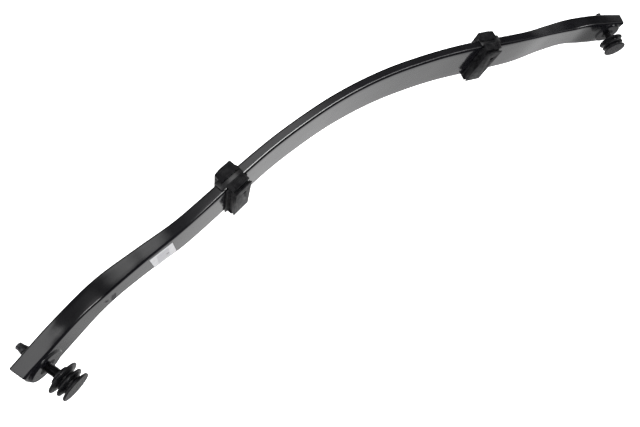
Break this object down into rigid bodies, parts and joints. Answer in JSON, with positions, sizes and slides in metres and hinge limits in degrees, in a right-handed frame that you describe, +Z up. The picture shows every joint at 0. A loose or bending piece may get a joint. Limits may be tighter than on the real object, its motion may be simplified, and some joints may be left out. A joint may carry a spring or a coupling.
{
  "type": "transverse leaf spring",
  "caption": "Transverse composite leaf spring with rubber insulators that clamp it to a crossmember and a screwed height adjuster with a ribbed rubber cushion at each end.",
  "frame": {"origin": "middle of the leaf's top face", "axes": "+X along the leaf, +Y across it, +Z up, away from the road, when it is fitted"},
  "size_m": [1.2, 0.0876, 0.1798],
  "materials": {
    "composite": "satin black moulded glass-fibre composite",
    "rubber": "moulded black rubber, matt",
    "cushion_rubber": "moulded black rubber with a slight sheen",
    "liner": "dark grey moulded liner",
    "steel": "plain steel",
    "black_steel": "black phosphated steel",
    "paper": "white paper label"
  },
  "bodies": {
    "leaf": {"leaf_centre": "composite", "upper_insulator_left": "rubber", "lower_insulator_left": "rubber", "insulator_liner_left": "liner", "upper_insulator_right": "rubber", "lower_insulator_right": "rubber", "insulator_liner_right": "liner"},
    "arm_left": {"leaf_arm_left": "composite", "threaded_bush_left": "steel", "label": "paper"},
    "cushion_carrier_left": {"cushion_left": "cushion_rubber", "cushion_sleeve_left": "steel", "cushion_washer_left": "black_steel"},
    "adjuster_left": {"adjuster_bolt_left": "black_steel"},
    "arm_right": {"leaf_arm_right": "composite", "threaded_bush_right": "steel"},
    "cushion_carrier_right": {"cushion_right": "cushion_rubber", "cushion_sleeve_right": "steel", "cushion_washer_right": "black_steel"},
    "adjuster_right": {"adjuster_bolt_right": "black_steel"}
  },
  "joints": [
    {"name": "left_flex", "type": "hinge", "parent": "leaf", "child": "arm_left", "pos_m": [-0.325, 0, -0.05125], "axis": [0, 1, 0], "range_deg": [0, 16], "stiffness_Nm_per_rad": 9000},
    {"name": "left_height", "type": "slide", "parent": "arm_left", "child": "cushion_carrier_left", "axis": [0.3702, 0, -0.929], "range_m": [-0.00962, 0.00962]},
    {"name": "left_adjuster_turn", "type": "hinge", "parent": "cushion_carrier_left", "child": "adjuster_left", "pos_m": [-0.58, 0, -0.10911], "axis": [0.3702, 0, -0.929], "range_deg": [-2000, 2000]},
    {"name": "right_flex", "type": "hinge", "parent": "leaf", "child": "arm_right", "pos_m": [0.325, 0, -0.05125], "axis": [0, -1, 0], "range_deg": [0, 16], "stiffness_Nm_per_rad": 9000},
    {"name": "right_height", "type": "slide", "parent": "arm_right", "child": "cushion_carrier_right", "axis": [-0.3702, 0, -0.929], "range_m": [-0.00525, 0.014]},
    {"name": "right_adjuster_turn", "type": "hinge", "parent": "cushion_carrier_right", "child": "adjuster_right", "pos_m": [0.58, 0, -0.10911], "axis": [-0.3702, 0, -0.929], "range_deg": [-1100, 2900]}
  ],
  "couplings": [
    {"joint": "left_adjuster_turn", "follows": "left_height", "rad_per_m": 3590.4},
    {"joint": "right_adjuster_turn", "follows": "right_height", "rad_per_m": 3590.4}
  ]
}
